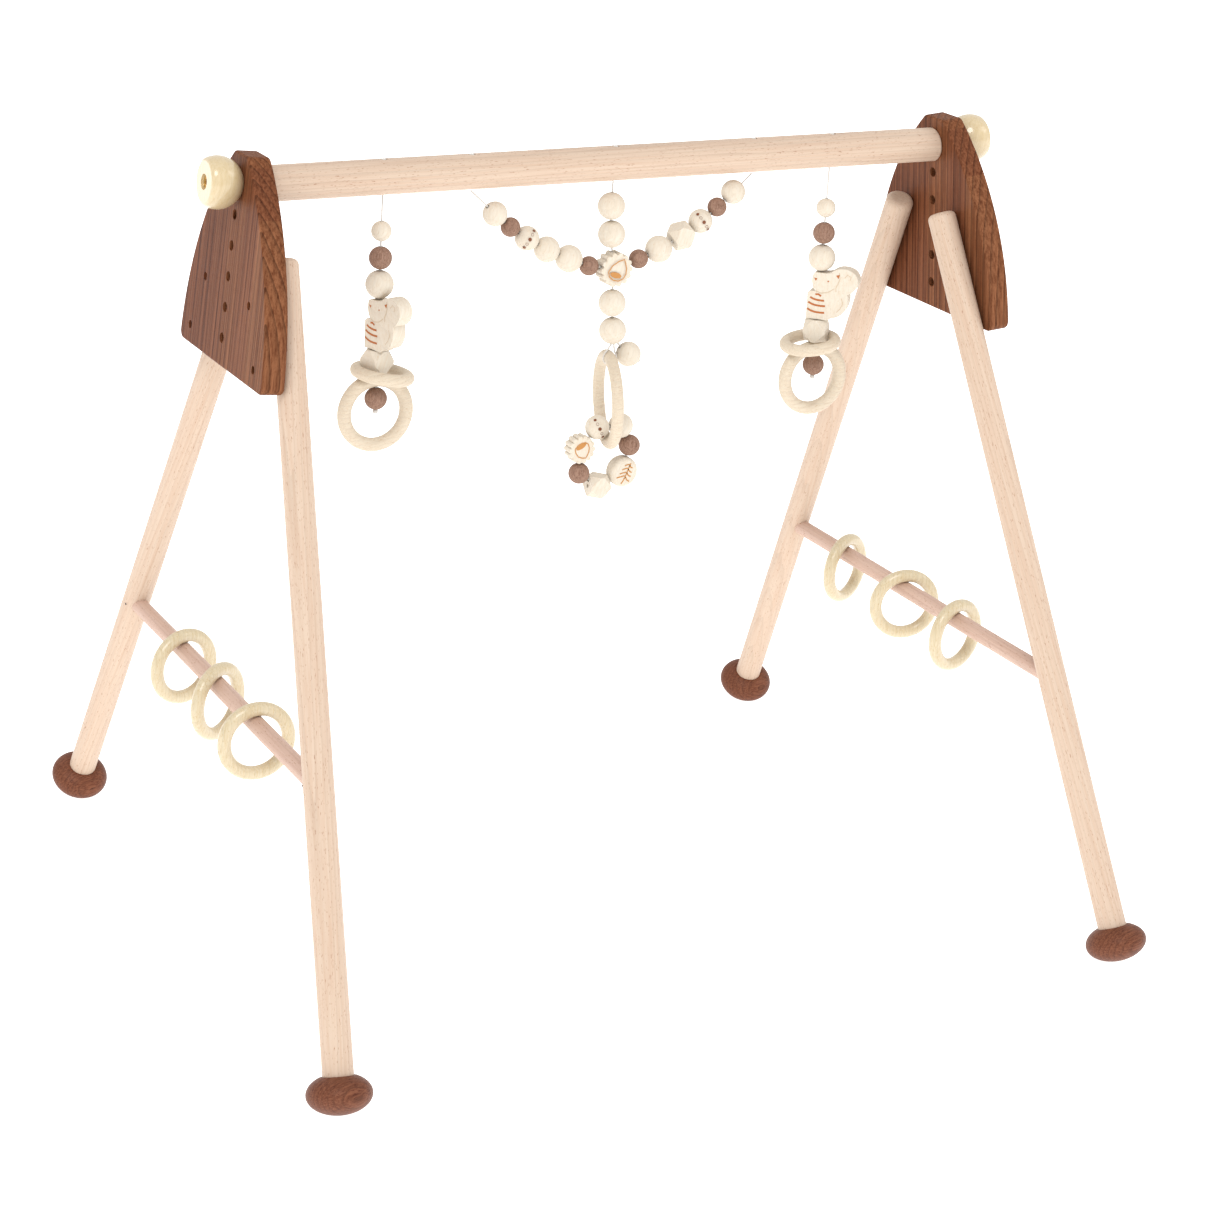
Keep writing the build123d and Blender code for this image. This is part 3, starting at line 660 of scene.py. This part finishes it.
def face_marks(bar):
    """Nose, eyes and ears on the face beads, in a line square to the cord's run through each bead."""
    dark_umber = plain("engraving_dark", tone(134, 74, 38), 0.6)
    outward = Vector(FACE_LOOK)
    for number, (body, route, stop, size, y) in enumerate(FACE_BEADS):
        x, z = route[stop]
        before, after = route[stop - 1], route[stop + 1]
        string = Vector((after[0] - before[0], 0, after[1] - before[1])).normalized()
        right = (string - outward * string.dot(outward) / outward.length_squared).normalized()
        up = outward.normalized().cross(right)
        place = round_face((x, y, bar + z), size / 2 + INLAY_LIFT, right, up)
        marks = []
        fill(marks, circle((0, 0), FACE_NOSE_R, 14))
        for sign in (-1, 1):
            ear = ellipse((0, sign * FACE_EARS), FACE_EAR_R, FACE_EAR_R * FACE_EAR_FLAT, count=12)
            fill(marks, ear)
            eye = circle((0, sign * FACE_EYES), FACE_EYE_R, 14)
            stroke(marks, eye, FACE_EYE_WIDTH, closed=True)
        engrave(f"face_marks_{number}", marks, place, dark_umber, body)


# --- cords -------------------------------------------------------------------------------


def knot(name, at, material, body):
    """Small round knot at the end of a cord. at is in mm."""
    bpy.ops.mesh.primitive_uv_sphere_add(segments=20, ring_count=12, radius=KNOT_D / 2 * MM,
                                         location=Vector(at) * MM)
    ball = bpy.context.object
    ball.name = name
    ball.data.materials.append(material)
    bpy.ops.object.shade_smooth()
    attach(ball, body)
    return ball


def run_cord(name, route, material, body, replaces):
    """Cord along a route in mm, that stands for its CAD node."""
    curve = bpy.data.curves.new(name, "CURVE")
    curve.dimensions = "3D"
    curve.bevel_depth = CORD_D / 2 * MM
    curve.bevel_resolution = 4
    curve.resolution_u = 12
    curve.use_fill_caps = True
    spline = curve.splines.new("NURBS")
    spline.points.add(len(route) - 1)
    for point, spot in zip(spline.points, route):
        point.co = (*(Vector(spot) * MM), 1.0)
    spline.order_u = 3
    spline.use_endpoint_u = True
    curve.materials.append(material)
    cord = bpy.data.objects.new(name, curve)
    bpy.context.scene.collection.objects.link(cord)
    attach(cord, body)
    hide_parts(replaces)


def part_way(first, last, share):
    """Point between two."""
    return tuple(a + (b - a) * share for a, b in zip(first, last))


def in_space(route, y, bar):
    """Points in mm of a route given as (x, z below the bar axis)."""
    return [(x, y, bar + z) for x, z in route]


def loop_route():
    """Route of the loop: down, round the centre ring, and up again."""
    route = [(LOOP_TOP[0] - LOOP_SPREAD, LOOP_TOP[1])]
    for step in range(LOOP_STEPS + 1):
        angle = math.radians(LOOP_FROM + step * LOOP_SWEEP / LOOP_STEPS)
        route.append((LOOP_CENTRE[0] + LOOP_R * math.cos(angle), LOOP_CENTRE[1] + LOOP_R * math.sin(angle)))
    route.append((LOOP_TOP[0] + LOOP_SPREAD, LOOP_TOP[1]))
    return route


def open_wrist_route():
    """Route once round the bracelet, with both ends inside the faceted bead."""
    first = WRIST_ROUTE[0]
    start = part_way(first, WRIST_ROUTE[1], WRIST_GAP)
    end = part_way(first, WRIST_ROUTE[-1], WRIST_GAP)
    return [start, *WRIST_ROUTE[1:], end]


def garland_cords(thread, bar):
    """The garland's V-shaped cord, its centre cord and the loop that holds the centre ring."""
    run_cord("cord_garland", in_space(GARLAND_ROUTE, GARLAND_Y, bar), thread, "garland",
             "garland_cord")
    centre = in_space(CENTRE_ROUTE, CENTRE_Y, bar)
    end_knot = knot("knot_centre", centre[-1], thread, "garland")
    run_cord("cord_centre", centre, thread, "garland", "centre_cord")
    run_cord("cord_loop", in_space(loop_route(), LOOP_Y, bar), thread, "garland",
             "ring_loop")


def bracelet_cord(thread, bar):
    """The cord of the bracelet."""
    run_cord("cord_bracelet", in_space(open_wrist_route(), WRIST_Y, bar), thread,
             "bracelet", "bracelet_cord")


def hanger_cords(thread, bar):
    """The straight cord of each hanger, down to the knot under its end bead."""
    for side, x, lower, _ in HANGERS:
        body = f"hanger_{side}"
        top = (x, 0, bar + HANGER_TOP)
        bottom = (x, 0, bar + lower + HANGER_BOTTOM)
        route = [part_way(top, bottom, step / HANGER_STEPS) for step in range(HANGER_STEPS + 1)]
        end_knot = knot(f"knot_{side}", bottom, thread, body)
        run_cord(f"cord_hanger_{side}", route, thread, body, f"hanger_cord_{side}")


# --- stage -------------------------------------------------------------------------------


def stage(under):
    """White floor at height `under`. It glows, so the ground stays white."""
    bpy.ops.mesh.primitive_plane_add(size=FLOOR_SIZE, location=(0, 0, under))
    floor = bpy.context.object
    floor.name = "floor"
    material, shader = new_material("white_floor")
    shader.inputs["Base Color"].default_value = grey(FLOOR_GREY)
    shader.inputs["Roughness"].default_value = 1.0
    shader.inputs["Specular IOR Level"].default_value = 0.0
    shader.inputs["Emission Color"].default_value = WHITE
    shader.inputs["Emission Strength"].default_value = FLOOR_GLOW
    floor.data.materials.append(material)


def suns():
    """White surroundings, a soft sun from the front left and a weaker one from the right."""
    world = bpy.data.worlds.new("studio")
    bpy.context.scene.world = world
    world.use_nodes = True
    ground = world.node_tree.nodes["Background"]
    ground.inputs["Color"].default_value = WHITE
    ground.inputs["Strength"].default_value = 1.0
    for name, heading, height, energy in SUNS:
        lamp = bpy.data.lights.new(name, "SUN")
        lamp.energy = energy
        lamp.angle = math.radians(SUN_SPREAD)
        sun = bpy.data.objects.new(name, lamp)
        bpy.context.scene.collection.objects.link(sun)
        h, v = math.radians(heading), math.radians(height)
        towards = Vector((math.sin(h) * math.cos(v), -math.cos(h) * math.cos(v), math.sin(v)))
        sun.rotation_mode = "QUATERNION"
        sun.rotation_quaternion = towards.to_track_quat("Z", "Y")
    bpy.context.scene.view_settings.view_transform = "Standard"


def camera():
    """Camera that looks at the gym from the front left and a little above."""
    heading = math.radians(CAMERA_HEADING)
    down = math.radians(CAMERA_DOWN)
    roll = math.radians(CAMERA_ROLL)
    level_run = math.cos(down)
    forward = Vector((math.sin(heading) * level_run, math.cos(heading) * level_run, -math.sin(down)))
    level = forward.cross(Vector((0, 0, 1))).normalized()
    upright = level.cross(forward)
    right = level * math.cos(roll) + upright * math.sin(roll)
    up = upright * math.cos(roll) - level * math.sin(roll)
    data = bpy.data.cameras.new("camera")
    data.sensor_width = CAMERA_SENSOR
    data.lens = CAMERA_LENS
    data.shift_x, data.shift_y = CAMERA_SHIFT
    data.clip_start, data.clip_end = CAMERA_CLIP
    body = bpy.data.objects.new("camera", data)
    bpy.context.scene.collection.objects.link(body)
    turn = Matrix((right, up, -forward)).transposed().to_4x4()
    body.matrix_world = Matrix.Translation(CAMERA_AT) @ turn
    bpy.context.scene.camera = body


def corners():
    """Both corners of everything shown, as plain lists."""
    return [list(corner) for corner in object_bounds()]


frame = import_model()
at_load = corners()
bar_low, bar_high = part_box("top_bar")
bar_axis = (bar_low.z + bar_high.z) / 2 / MM
dress_beech(frame)
dress_stained(frame)
dress_lacquered(frame)
dress_toys(frame)
dress_fasteners(frame)
soften(frame)
squirrel_marks(bar_axis)
disc_marks(bar_axis)
face_marks(bar_axis)
white_cord = plain("white_cord", tone(236, 230, 222), 0.75)
garland_cords(white_cord, bar_axis)
bracelet_cord(white_cord, bar_axis)
hanger_cords(white_cord, bar_axis)
stage(at_load[0][2] - FLOOR_GAP)
suns()
camera()
